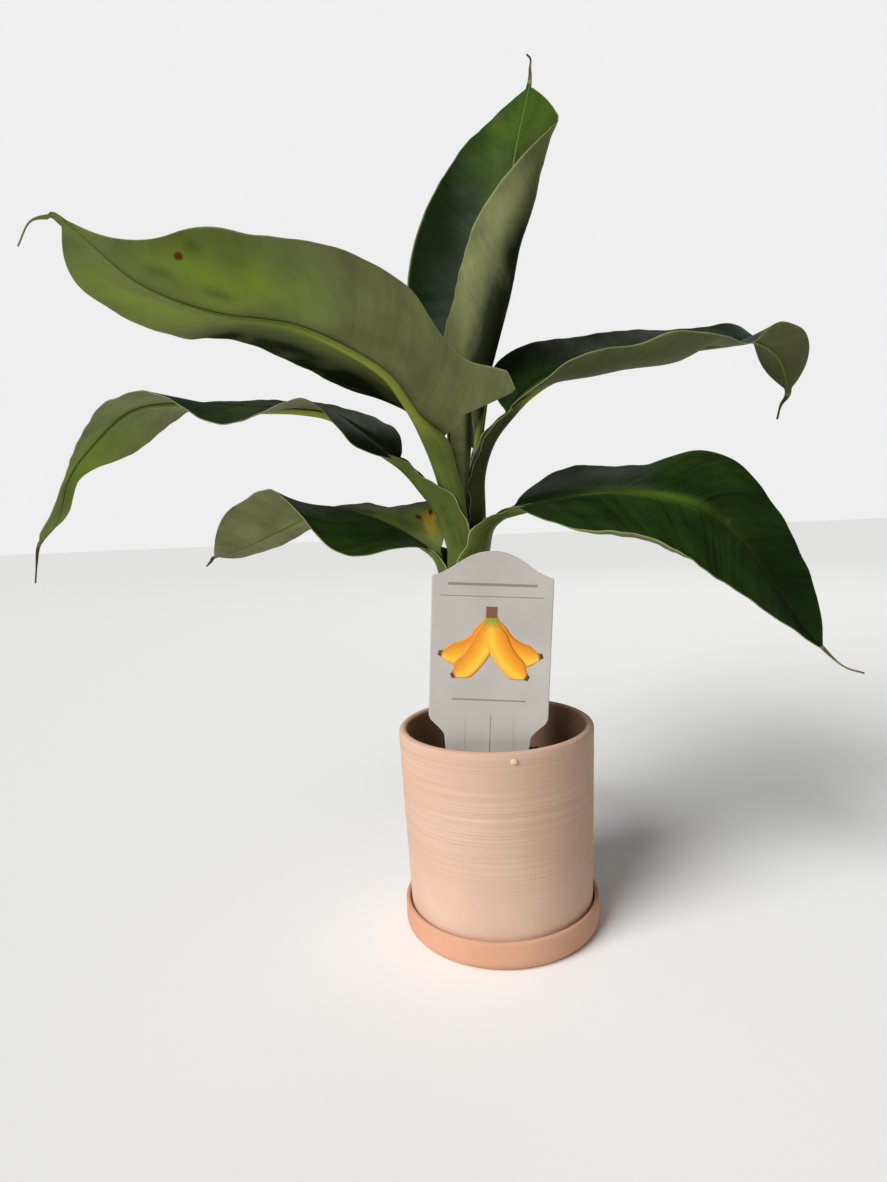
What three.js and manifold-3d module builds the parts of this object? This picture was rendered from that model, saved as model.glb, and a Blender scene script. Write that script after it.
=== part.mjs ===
// Potted banana plant in a straight-sided clay pot with its saucer and a tag.
// Millimetres, +Z up, +X to the plant's right, +Y to its back.
// The origin is the centre of the saucer's flat underside.

import * as THREE from "three";
import { mergeVertices } from "three/addons/utils/BufferGeometryUtils.js";
import Module from "manifold-3d";

const wasm = await Module();
wasm.setup();

// Clear gap between pieces that touch
const GAP = 0.3;

// Saucer
const SAUCER_RADIUS = 64.5;
const SAUCER_FOOT_RADIUS = 60;
const SAUCER_HEIGHT = 19;
const SAUCER_FLOOR = 6;
const SAUCER_WALL = 3.2;

// Pot: outer radii at its foot and rim, heights above the saucer's underside
const POT_FOOT_Z = SAUCER_FLOOR + GAP;
const POT_RIM_Z = 134.5;
const POT_FOOT_RADIUS = 60.2;
const POT_RIM_RADIUS = 63.5;
const POT_WALL = 5.7;
const POT_FLOOR = 6;
const ROUND_SEGMENTS = 48;

// Potting mix
const MIX_TOP_Z = 101;
const MIX_EDGE_Z = 99;
const MIX_FLAT_RADIUS = 24;

// Pseudostem: three centres that it leans through, and its radii
const STEM_LINE = [[-5, 2], [-11, 0], [-16, -2]];
const STEM_FOOT_Z = MIX_TOP_Z + GAP;
const STEM_TOP_Z = 228;
const STEM_FLARE_RADIUS = 19.5;
const STEM_RADIUS = 17;
const STEM_TOP_RADIUS = 15;

// Tag: its own frame is centred where it crosses the pot's rim
const TAG_CENTRE = [-5.6, -44.4, 131.3];
const TAG_LEAN_DEG = 4;
const TAG_THICKNESS = 1.2;
const TAG_HALF_WIDTH = 35.6;
const TAG_SHOULDER = 104;
const TAG_APEX = 118.7;
const TAG_BODY_FOOT = 18;
const TAG_STAKE_TOP = 9;
const TAG_STAKE_HALF_TOP = 26;
const TAG_STAKE_HALF_LOW = 18;
const TAG_STAKE_LOW = -62;
const TAG_STAKE_TIP = -76;

// Leaf blades and stalks
const BLADE_THICKNESS = 3.4;
const TIP_HALF_WIDTH = 1.7;
const HALF_STRIPS = 4;
const BLADE_STATIONS = 16;
const TAIL_STATIONS = 3;
const CURL_STEPS = 24;
const STALK_SECTION = 10;
const STALK_RINGS = 9;
const STALK_DEPTH_SHARE = 0.95;
const STALK_CHANNEL = 0.3;
const RIB_KEEL = 3.5;
const TANGENT_REACH = 6;
const CURVE_DIVISIONS = 24;

// Each leaf lies along a rib in its own upright plane. The heading is the way
// that plane faces in degrees from +X, the foot is its place over the stem's
// axis, and each rib point is the distance out and the height above the stem's
// top. The blade starts at rib point number "base" and ends at the last one,
// and the dry thread at its tip goes on along the tail points. A blade half is
// the widest reach from the rib, shoulder is the share of the length that each
// side takes to reach it, and belly is where the blade begins to narrow.
// A side's keys run from the blade's foot to its tip in even steps: lift and
// curl turn the half up from level in degrees, share scales its reach, and the
// curl sets in between bend[0] and bend[1] of the way out from the rib.
const LEAVES = {
  upright_leaf: {
    heading: 55,
    foot: [-12, 4],
    stalkWidth: [10, 7],
    base: 3,
    half: 64,
    shoulder: { left: 0.3, right: 0.32 },
    belly: 0.45,
    rib: [[0, -6], [0, 12], [5, 54], [11, 84], [27, 137], [42, 192], [57, 246], [72, 292], [90, 334]],
    tail: [[92, 347], [93, 353], [88, 354]],
    left: {
      lift: [0, 0, 5, 10, 10, 10, 10],
      curl: [20, 20, 25, 30, 30, 20, 0],
      share: [1, 1, 1.03, 1.03, 1.06, 1.15, 1.3],
      bend: [0.2, 1],
    },
    right: {
      lift: [30, 20, 15, 10, 0, 0, 0],
      curl: [170, 175, 180, 175, 125, 30, 0],
      share: [0.15, 0.36, 0.86, 1.04, 1.15, 1.14, 1.1, 1.03, 0.96, 1, 1.06, 1.08, 1.1],
      bend: [[0, 0, 0.12, 0.2, 0.35, 0.4, 0.4], [0.55, 0.55, 0.55, 0.6, 0.8, 1, 1]],
    },
  },
  front_left_leaf: {
    heading: 228,
    foot: [-20, -3],
    stalkWidth: [14, 11],
    base: 3,
    half: 50,
    shoulder: { left: 0.05, right: 0.22 },
    belly: 0.45,
    rib: [[0, -6], [0, 12], [6, 57], [20, 90], [36, 112], [58, 130], [109, 145], [157, 145], [192, 152],
      [221, 172]],
    tail: [[227, 172], [234, 168], [239, 158]],
    left: {
      lift: [25, 15, 20, 20, 25, 35, 40],
      curl: [0, 20, 20, 20, 20, 20, 0],
      share: [1.35, 0.85, 0.97, 1, 1.05, 1.1, 0.3],
      bend: [0, 1],
    },
    right: {
      lift: [45, 15, 10, 10, 5, 0, -20],
      curl: [-10, -30, -35, -30, -30, -30, -30],
      share: [1, 1, 1, 1, 1, 1.2, 2],
      bend: [0.3, 1],
    },
  },
  arching_left_leaf: {
    heading: 172,
    foot: [-22, -8],
    stalkWidth: [17, 12],
    base: 4,
    half: 42,
    shoulder: { left: 0.14, right: 0.14 },
    belly: 0.45,
    split: 9,
    rib: [[-4, -6], [-4, 7], [5, 43], [15, 59], [32, 79], [69, 108], [96, 116], [131, 119], [178, 125],
      [218, 122], [253, 98], [271, 78], [282, 51], [298, 35]],
    tail: [[303, 21], [306, 7]],
    left: {
      lift: [-30, 3, -22, 2, -12, -18, 15],
      curl: 0,
      share: [0.7, 0.95, 1, 1, 1, 0.85, 1.6],
      bend: [0, 1],
    },
    right: {
      lift: [25, 8, 12, 5, -12, -10, 30],
      curl: 0,
      share: [1, 1, 1, 1, 1.15, 0.75, 1.1],
      bend: [0, 1],
    },
  },
  low_left_leaf: {
    heading: 150,
    foot: [-28, 2],
    stalkWidth: [13, 10],
    base: 2,
    half: 44,
    shoulder: { left: 0.3, right: 0.2 },
    belly: 0.45,
    split: 6,
    rib: [[0, -6], [0, 4], [6, 18], [24, 30], [52, 43], [83, 51], [108, 50], [130, 42], [160, 32], [200, 20],
      [224, 16]],
    tail: [[230, 12], [236, 8]],
    left: {
      lift: [5, -36, -14, 25, 50, 48, 20],
      curl: 0,
      share: [1, 1, 1, 0.95, 0.93, 1.25, 1.3],
      bend: [0, 1],
    },
    right: {
      lift: [70, 24, 0, 5, 0, -10, -30],
      curl: 0,
      share: 1,
      bend: [0, 1],
    },
  },
  high_right_leaf: {
    heading: 20,
    foot: [-8, 4],
    stalkWidth: [14, 12],
    base: 5,
    half: 46,
    shoulder: { left: 0.12, right: 0.25 },
    belly: 0.45,
    split: 10,
    rib: [[0, -6], [0, 12], [1, 42], [2, 68], [10, 90], [24, 107], [40, 122], [62, 133], [105, 142],
      [150, 148], [190, 152], [215, 154], [235, 142], [242, 120]],
    tail: [[236, 110], [233, 100]],
    left: {
      lift: [34, 36, 37, 33, 30, 30, 30, 29, 28, 31, 33, -8, -32],
      curl: 0,
      share: [0.8, 0.9, 1, 1, 1, 1.2, 1.2],
      bend: [0, 1],
    },
    right: {
      lift: [10, -25, -50, -58, -60, -58, -52, -14, -14, 0, 2, 28, 25],
      curl: [0, 55, 110, 126, 125, 130, 112, 20, 10, 12, 20, 10, 0],
      share: [1, 1, 1, 1, 1, 1.18, 1.1, 1, 1, 1.1, 1.3, 1.45, 1.6],
      bend: [0, 1],
    },
  },
  low_right_leaf: {
    heading: 352,
    foot: [-8, -6],
    stalkWidth: [21, 12],
    base: 4,
    half: 46,
    shoulder: { left: 0.14, right: 0.25 },
    belly: 0.5,
    split: 7,
    rib: [[0, -6], [0, 7], [4, 33], [13, 44], [25, 48], [53, 52], [77, 54], [100, 52], [134, 42], [158, 22],
      [174, -1], [192, -29], [203, -44]],
    tail: [[215, -55], [226, -59]],
    left: {
      lift: [20, 23, 22, 50, 47, 55, 80],
      curl: 0,
      share: [0.9, 1, 1, 1, 1, 1, 1],
      bend: [0, 1],
    },
    right: {
      lift: [-30, -33, -38, -42, -40, -32, -22],
      curl: [0, 20, 60, 60, 0, 0, 0],
      share: [1, 1.1, 1.1, 1.1, 1, 1, 1],
      bend: [0.8, 1],
    },
  },
};

// The inner sheaths are whole, and each later one is cut clear of those before it
const SHEATH_ORDER = [
  "upright_leaf",
  "high_right_leaf",
  "front_left_leaf",
  "low_left_leaf",
  "arching_left_leaf",
  "low_right_leaf",
];

// Young leaf, still rolled: centres from its foot to its tip, and radii there
const YOUNG_LINE = [[-15, -2, 222], [-15, -3, 258], [-15, -6, 292], [-16, -9, 322], [-12, -6, 356]];
const YOUNG_RADII = [2.4, 2.4, 3.4, 7.8, 0.9];
const YOUNG_DEPTH_SHARE = 0.6;
const YOUNG_RINGS = 12;

const radians = THREE.MathUtils.degToRad;

// A smooth value through evenly spaced keys, or the one value where there is one
function smooth(keys, t) {
  if (typeof keys === "number") return keys;
  const x = THREE.MathUtils.clamp(t, 0, 1) * (keys.length - 1);
  const i = Math.min(Math.floor(x), keys.length - 2);
  const f = x - i;
  const a = keys[Math.max(i - 1, 0)];
  const b = keys[i];
  const c = keys[i + 1];
  const d = keys[Math.min(i + 2, keys.length - 1)];
  return b + 0.5 * f * (c - a + f * (2 * a - 5 * b + 4 * c - d + f * (3 * (b - c) + d - a)));
}

// A smooth curve through points, with the length along it at each of them
function curveThrough(points) {
  const curve = new THREE.CatmullRomCurve3(points, false, "catmullrom", 0.5);
  curve.arcLengthDivisions = CURVE_DIVISIONS * (points.length - 1);
  const lengths = curve.getLengths();
  const end = lengths[lengths.length - 1];
  return {
    end,
    knot: (k) => lengths[CURVE_DIVISIONS * k],
    at: (length) => curve.getPointAt(THREE.MathUtils.clamp(length / end, 0, 1)),
  };
}

// A leaf's rib: its curve, the lengths where the blade starts and ends, and
// the frame at a length along it, with the leaf's left side and its upper side
function ribOf(leaf) {
  const heading = radians(leaf.heading);
  const out = new THREE.Vector3(Math.cos(heading), Math.sin(heading), 0);
  const left = new THREE.Vector3(-Math.sin(heading), Math.cos(heading), 0);
  const points = [...leaf.rib, ...leaf.tail].map(([away, up]) =>
    new THREE.Vector3(leaf.foot[0], leaf.foot[1], STEM_TOP_Z + up).addScaledVector(out, away),
  );
  const curve = curveThrough(points);
  const frame = (length) => {
    const ahead = curve.at(length + TANGENT_REACH).sub(curve.at(length - TANGENT_REACH)).normalize();
    return { at: curve.at(length), left, upper: ahead.cross(left).normalize() };
  };
  return {
    frame,
    start: curve.knot(leaf.base),
    tip: curve.knot(leaf.rib.length - 1),
    end: curve.end,
    split: leaf.split ? curve.knot(leaf.split) : 0,
  };
}

// How far one half reaches from the rib, with u from 0 at the blade's foot to 1 at its tip
function reach(leaf, side, u) {
  const rise = Math.sin((Math.PI / 2) * Math.min(u / leaf.shoulder[side], 1)) ** 0.8;
  const fall = Math.cos((Math.PI / 2) * THREE.MathUtils.clamp((u - leaf.belly) / (1 - leaf.belly), 0, 1)) ** 0.85;
  const beside = (leaf.stalkWidth[1] / 2) * (1 - 4 * u);
  return Math.max(leaf.half * rise * fall, beside, TIP_HALF_WIDTH) * smooth(leaf[side].share, u);
}

// A point of the blade: across runs from -1 at the right margin to 1 at the
// left one, and layer from -0.5 on the underside to 0.5 on the upper side
function bladePoint(leaf, rib, length, across, layer) {
  const u = (length - rib.start) / (rib.tip - rib.start);
  const { at, left, upper } = rib.frame(length);
  const side = across < 0 ? "right" : "left";
  const sign = across < 0 ? -1 : 1;
  const values = leaf[side];
  const lift = smooth(values.lift, u);
  const curl = smooth(values.curl, u);
  const from = smooth(values.bend[0], u);
  const to = smooth(values.bend[1], u);
  const angleAt = (t) => radians(lift + curl * THREE.MathUtils.clamp((t - from) / (to - from), 0, 1));
  const stride = reach(leaf, side, u) / CURL_STEPS;
  for (let k = 0; k < Math.round(Math.abs(across) * CURL_STEPS); k += 1) {
    const angle = angleAt((k + 0.5) / CURL_STEPS);
    at.addScaledVector(left, sign * Math.cos(angle) * stride);
    at.addScaledVector(upper, Math.sin(angle) * stride);
  }
  const angle = across === 0 ? 0 : angleAt(Math.abs(across));
  const keel = across === 0 && layer < 0 ? RIB_KEEL * Math.max(1 - u, 0) : 0;
  const raise = layer * BLADE_THICKNESS - keel;
  at.addScaledVector(left, -sign * Math.sin(angle) * raise);
  at.addScaledVector(upper, Math.cos(angle) * raise);
  return at;
}

// A thin blade over the given lengths of the rib: a flat box with its vertices moved
function bladeGeometry(leaf, rib, lengths) {
  const geometry = new THREE.BoxGeometry(1, 2, 1, lengths.length - 1, 2 * HALF_STRIPS, 1);
  const place = geometry.attributes.position;
  for (let i = 0; i < place.count; i += 1) {
    const length = lengths[Math.round((place.getX(i) + 0.5) * (lengths.length - 1))];
    const across = Math.round(place.getY(i) * HALF_STRIPS) / HALF_STRIPS;
    const point = bladePoint(leaf, rib, length, across, place.getZ(i));
    place.setXYZ(i, point.x, point.y, point.z);
  }
  return geometry;
}

// Lengths in even steps from one value to another
function steps(from, to, count) {
  return Array.from({ length: count + 1 }, (_, k) => from + ((to - from) * k) / count);
}

// A round or flattened limb along a curve: a cylinder with its vertices moved.
// section(t, angle) gives the reach to the left and to the upper side.
function limbGeometry(frameAt, from, to, rings, sides, section) {
  const geometry = new THREE.CylinderGeometry(1, 1, 1, sides, rings);
  const place = geometry.attributes.position;
  for (let i = 0; i < place.count; i += 1) {
    const t = place.getY(i) + 0.5;
    const { at, left, upper } = frameAt(from + (to - from) * t);
    const radius = Math.hypot(place.getX(i), place.getZ(i));
    const angle = Math.atan2(-place.getZ(i), place.getX(i));
    const [wide, deep] = section(t, angle);
    at.addScaledVector(left, radius < 0.5 ? 0 : wide);
    at.addScaledVector(upper, radius < 0.5 ? 0 : deep);
    place.setXYZ(i, at.x, at.y, at.z);
  }
  return geometry;
}

// A leaf stalk: flattened, channelled on its upper side, and narrower towards
// the blade. With grow it comes out wider all round, for cutting its neighbours.
function stalkGeometry(leaf, rib, grow) {
  const section = (t, angle) => {
    const width = THREE.MathUtils.lerp(leaf.stalkWidth[0], leaf.stalkWidth[1], Math.min(1.6 * t, 1));
    const depth = leaf.stalkWidth[1] * STALK_DEPTH_SHARE;
    const channel = grow ? 0 : STALK_CHANNEL * depth * Math.max(Math.sin(angle), 0) ** 8;
    return [
      (width / 2 + grow) * Math.cos(angle),
      (depth / 2 + grow) * Math.sin(angle) - channel,
    ];
  };
  return limbGeometry(rib.frame, 0, rib.start - GAP / 2, STALK_RINGS, STALK_SECTION, section);
}

// A closed mesh as a solid for joining and cutting
function solidOf(geometry) {
  const bare = geometry.clone();
  bare.deleteAttribute("normal");
  bare.deleteAttribute("uv");
  const merged = mergeVertices(bare, 1e-4);
  return new wasm.Manifold(
    new wasm.Mesh({
      numProp: 3,
      vertProperties: new Float32Array(merged.attributes.position.array),
      triVerts: new Uint32Array(merged.index.array),
    }),
  );
}

// The largest body of a solid, as a geometry
function geometryOf(solid) {
  const bodies = solid.decompose();
  const largest = bodies.reduce((a, b) => (b.volume() > a.volume() ? b : a));
  const { vertProperties, triVerts } = largest.getMesh();
  const geometry = new THREE.BufferGeometry();
  geometry.setAttribute("position", new THREE.BufferAttribute(vertProperties, 3));
  geometry.setIndex(new THREE.BufferAttribute(triVerts, 1));
  geometry.computeVertexNormals();
  return geometry;
}

// Points of a quarter round, from one angle to another in degrees
function arc(x, z, radius, from, to, count) {
  return steps(from, to, count).map(
    (angle) => new THREE.Vector2(x + radius * Math.cos(radians(angle)), z + radius * Math.sin(radians(angle))),
  );
}

function turned(points) {
  const geometry = new THREE.LatheGeometry(points, ROUND_SEGMENTS);
  return geometry.rotateX(Math.PI / 2);
}

function saucerGeometry() {
  const inner = SAUCER_RADIUS - SAUCER_WALL;
  const lip = SAUCER_WALL / 2;
  return turned([
    new THREE.Vector2(0, 0),
    new THREE.Vector2(SAUCER_FOOT_RADIUS, 0),
    ...arc(SAUCER_RADIUS - 5, 5, 5, -75, 0, 3),
    ...arc(SAUCER_RADIUS - lip, SAUCER_HEIGHT - lip, lip, 0, 180, 4),
    new THREE.Vector2(inner, SAUCER_FLOOR + 1),
    new THREE.Vector2(inner - 1, SAUCER_FLOOR),
    new THREE.Vector2(0, SAUCER_FLOOR),
  ]);
}

// The pot's outer radius at a height
function potRadius(z) {
  return THREE.MathUtils.mapLinear(z, POT_FOOT_Z, POT_RIM_Z, POT_FOOT_RADIUS, POT_RIM_RADIUS);
}

function potGeometry() {
  const lip = POT_WALL / 2;
  const floor = POT_FOOT_Z + POT_FLOOR;
  return turned([
    new THREE.Vector2(0, POT_FOOT_Z),
    ...arc(POT_FOOT_RADIUS - 4, POT_FOOT_Z + 4, 4, -90, 0, 3),
    ...arc(POT_RIM_RADIUS - lip, POT_RIM_Z - lip, lip, 0, 180, 6),
    ...arc(potRadius(floor) - POT_WALL - 6, floor + 6, 6, 0, -90, 3),
    new THREE.Vector2(0, floor),
  ]);
}

function mixGeometry() {
  const floor = POT_FOOT_Z + POT_FLOOR;
  const foot = potRadius(floor) - POT_WALL - 6;
  const edge = potRadius(MIX_EDGE_Z) - POT_WALL - GAP;
  return turned([
    new THREE.Vector2(0, floor + GAP),
    ...arc(foot, floor + 6, 6 - GAP, -90, 0, 3),
    new THREE.Vector2(edge, MIX_EDGE_Z),
    new THREE.Vector2((edge + MIX_FLAT_RADIUS) / 2, MIX_TOP_Z - 0.4),
    new THREE.Vector2(MIX_FLAT_RADIUS, MIX_TOP_Z),
    new THREE.Vector2(0, MIX_TOP_Z),
  ]);
}

// The pseudostem: level rings from a flared flat foot to a flat top, leaning as they rise
function stemGeometry() {
  const line = new THREE.CatmullRomCurve3(
    STEM_LINE.map(([x, y], k) => new THREE.Vector3(x, y, k / (STEM_LINE.length - 1))),
    false,
    "catmullrom",
    0.5,
  );
  const frameAt = (t) => {
    const { x, y } = line.getPoint(t);
    return {
      at: new THREE.Vector3(x, y, STEM_FOOT_Z + (STEM_TOP_Z - STEM_FOOT_Z) * t),
      left: new THREE.Vector3(1, 0, 0),
      upper: new THREE.Vector3(0, 1, 0),
    };
  };
  const section = (t, angle) => {
    const flare = (STEM_FLARE_RADIUS - STEM_RADIUS) * Math.max(1 - 6 * t, 0) ** 2;
    const radius = THREE.MathUtils.lerp(STEM_RADIUS, STEM_TOP_RADIUS, t) + flare;
    return [radius * Math.cos(angle), radius * Math.sin(angle)];
  };
  return limbGeometry(frameAt, 0, 1, 8, 20, section);
}

function youngLeafGeometry(grow) {
  const curve = curveThrough(YOUNG_LINE.map((p) => new THREE.Vector3(...p)));
  const frameAt = (length) => ({
    at: curve.at(length),
    left: new THREE.Vector3(1, 0, 0),
    upper: new THREE.Vector3(0, 1, 0),
  });
  const section = (t, angle) => {
    const radius = smooth(YOUNG_RADII, t) + grow;
    return [radius * Math.cos(angle), radius * YOUNG_DEPTH_SHARE * Math.sin(angle)];
  };
  return limbGeometry(frameAt, 0, curve.end, YOUNG_RINGS, STALK_SECTION, section);
}

// The tag's outline: a bell-shaped top, straight sides, bevelled shoulders
// below and a stake that narrows to a blunt point
function tagShape(grow, top) {
  const shape = new THREE.Shape();
  shape.moveTo(0, TAG_STAKE_TIP - grow);
  shape.lineTo(TAG_STAKE_HALF_LOW / 2 + grow, TAG_STAKE_TIP - grow);
  shape.lineTo(TAG_STAKE_HALF_LOW + grow, TAG_STAKE_LOW);
  shape.lineTo(TAG_STAKE_HALF_TOP + grow, TAG_STAKE_TOP);
  if (top) {
    shape.lineTo(TAG_HALF_WIDTH, TAG_BODY_FOOT);
    shape.lineTo(TAG_HALF_WIDTH, TAG_SHOULDER - 1.5);
    shape.lineTo(TAG_HALF_WIDTH - 1.5, TAG_SHOULDER);
    shape.bezierCurveTo(22, TAG_SHOULDER + 3, 16, TAG_APEX, 0, TAG_APEX);
    shape.bezierCurveTo(-16, TAG_APEX, -22, TAG_SHOULDER + 3, 1.5 - TAG_HALF_WIDTH, TAG_SHOULDER);
    shape.lineTo(-TAG_HALF_WIDTH, TAG_SHOULDER - 1.5);
    shape.lineTo(-TAG_HALF_WIDTH, TAG_BODY_FOOT);
  }
  shape.lineTo(-TAG_STAKE_HALF_TOP - grow, TAG_STAKE_TOP);
  shape.lineTo(-TAG_STAKE_HALF_LOW - grow, TAG_STAKE_LOW);
  shape.lineTo(-TAG_STAKE_HALF_LOW / 2 - grow, TAG_STAKE_TIP - grow);
  shape.closePath();
  return shape;
}

function tagGeometry(grow, top) {
  const depth = TAG_THICKNESS + 2 * grow;
  const geometry = new THREE.ExtrudeGeometry(tagShape(grow, top), {
    depth,
    bevelEnabled: false,
    curveSegments: 10,
  });
  geometry.translate(0, 0, -depth / 2);
  geometry.rotateX(Math.PI / 2);
  geometry.rotateY(radians(TAG_LEAN_DEG));
  return geometry.translate(...TAG_CENTRE);
}

// Finishes
const CLAY = { color: 0xe3bea0, roughness: 0.9, metalness: 0 };
const SAUCER_CLAY = { color: 0xd9a583, roughness: 0.9, metalness: 0 };
const MIX = { color: 0x2b1a12, roughness: 1, metalness: 0 };
const BLADE = { color: 0x2f4416, roughness: 0.45, metalness: 0 };
const STALK = { color: 0x56682c, roughness: 0.5, metalness: 0 };
const TAG_PLASTIC = { color: 0xdcd6cd, roughness: 0.45, metalness: 0 };

const plant = new THREE.Group();

function add(name, geometry, finish) {
  const mesh = new THREE.Mesh(geometry, new THREE.MeshStandardMaterial(finish));
  mesh.name = name;
  plant.add(mesh);
}

// Pot, saucer, potting mix with the slot that the tag's stake stands in, and tag
add("saucer", saucerGeometry(), SAUCER_CLAY);
add("pot", potGeometry(), CLAY);
const slot = solidOf(tagGeometry(GAP, false));
add("potting_mix", geometryOf(solidOf(mixGeometry()).subtract(slot)), MIX);
add("plant_tag", tagGeometry(0, true), TAG_PLASTIC);
add("pseudostem", stemGeometry(), STALK);

// Everything above the stem stands on its flat top
const belowTop = solidOf(
  new THREE.BoxGeometry(200, 200, 60).translate(0, 0, STEM_TOP_Z + GAP - 30),
);

// Young leaf in the middle, then the sheaths of the others round it
add("young_rolled_leaf", geometryOf(solidOf(youngLeafGeometry(0)).subtract(belowTop)), BLADE);
const inside = [belowTop, solidOf(youngLeafGeometry(GAP))];
for (const name of SHEATH_ORDER) {
  const leaf = LEAVES[name];
  const rib = ribOf(leaf);
  const stalk = inside.reduce((left, cutter) => left.subtract(cutter), solidOf(stalkGeometry(leaf, rib, 0)));
  add(name + "_stalk", geometryOf(stalk), STALK);
  inside.push(solidOf(stalkGeometry(leaf, rib, GAP)));
}

// Blades, each split at its bend where it has one
for (const name of SHEATH_ORDER) {
  const leaf = LEAVES[name];
  const rib = ribOf(leaf);
  const whole = rib.tip - rib.start;
  const tail = steps(rib.tip, rib.end, TAIL_STATIONS).slice(1);
  if (!leaf.split) {
    const lengths = [...steps(rib.start + GAP / 2, rib.tip, BLADE_STATIONS), ...tail];
    add(name + "_blade", bladeGeometry(leaf, rib, lengths), BLADE);
    continue;
  }
  const innerCount = Math.round((BLADE_STATIONS * (rib.split - rib.start)) / whole);
  const inner = steps(rib.start + GAP / 2, rib.split - GAP / 2, innerCount);
  const outer = [...steps(rib.split + GAP / 2, rib.tip, BLADE_STATIONS - innerCount), ...tail];
  add(name + "_blade", bladeGeometry(leaf, rib, inner), BLADE);
  add(name + "_blade_end", bladeGeometry(leaf, rib, outer), BLADE);
}

export default plant;
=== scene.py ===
"""Looks of a potted banana plant in a clay pot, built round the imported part.

Shapes are worked out in millimetres in the part's frame and scaled to metres
where they are written into a mesh.
"""

import math

import bmesh
import bpy
import numpy as np
from mathutils import Matrix, Vector


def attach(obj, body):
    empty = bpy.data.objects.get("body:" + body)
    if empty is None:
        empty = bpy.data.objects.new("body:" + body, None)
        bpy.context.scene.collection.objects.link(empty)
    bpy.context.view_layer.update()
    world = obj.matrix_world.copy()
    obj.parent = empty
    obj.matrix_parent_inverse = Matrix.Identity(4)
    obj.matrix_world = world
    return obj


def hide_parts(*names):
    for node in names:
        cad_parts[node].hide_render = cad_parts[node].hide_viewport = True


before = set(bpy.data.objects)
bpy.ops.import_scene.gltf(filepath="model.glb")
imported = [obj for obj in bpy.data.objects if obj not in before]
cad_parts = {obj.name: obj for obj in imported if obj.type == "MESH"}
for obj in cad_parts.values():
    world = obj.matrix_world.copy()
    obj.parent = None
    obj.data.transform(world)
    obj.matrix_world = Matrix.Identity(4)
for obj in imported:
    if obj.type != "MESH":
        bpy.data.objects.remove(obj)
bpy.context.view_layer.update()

MM = 0.001
RNG = np.random.default_rng(7)

# Sizes shared with the solids
SAUCER_RADIUS, SAUCER_HEIGHT, SAUCER_FLOOR, SAUCER_WALL = 64.5, 19.0, 6.0, 3.2
POT_FOOT_Z, POT_RIM_Z, POT_FOOT_RADIUS, POT_RIM_RADIUS, POT_WALL = 6.3, 134.5, 60.2, 63.5, 5.7
MIX_TOP_Z = 101.0
STEM_LINE = [(-5, 2, 101), (-11, 0, 164.5), (-16, -2, 228)]
STEM_TOP_Z = 228.0
TAG_CENTRE = Vector((-5.6, -44.4, 131.3))
TAG_LEAN_DEG = 4.0
TAG_HALF_WIDTH, TAG_FOOT, TAG_SHOULDER, TAG_APEX = 35.6, -76.0, 104.0, 118.7
TAG_CORNER = 1.5

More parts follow.
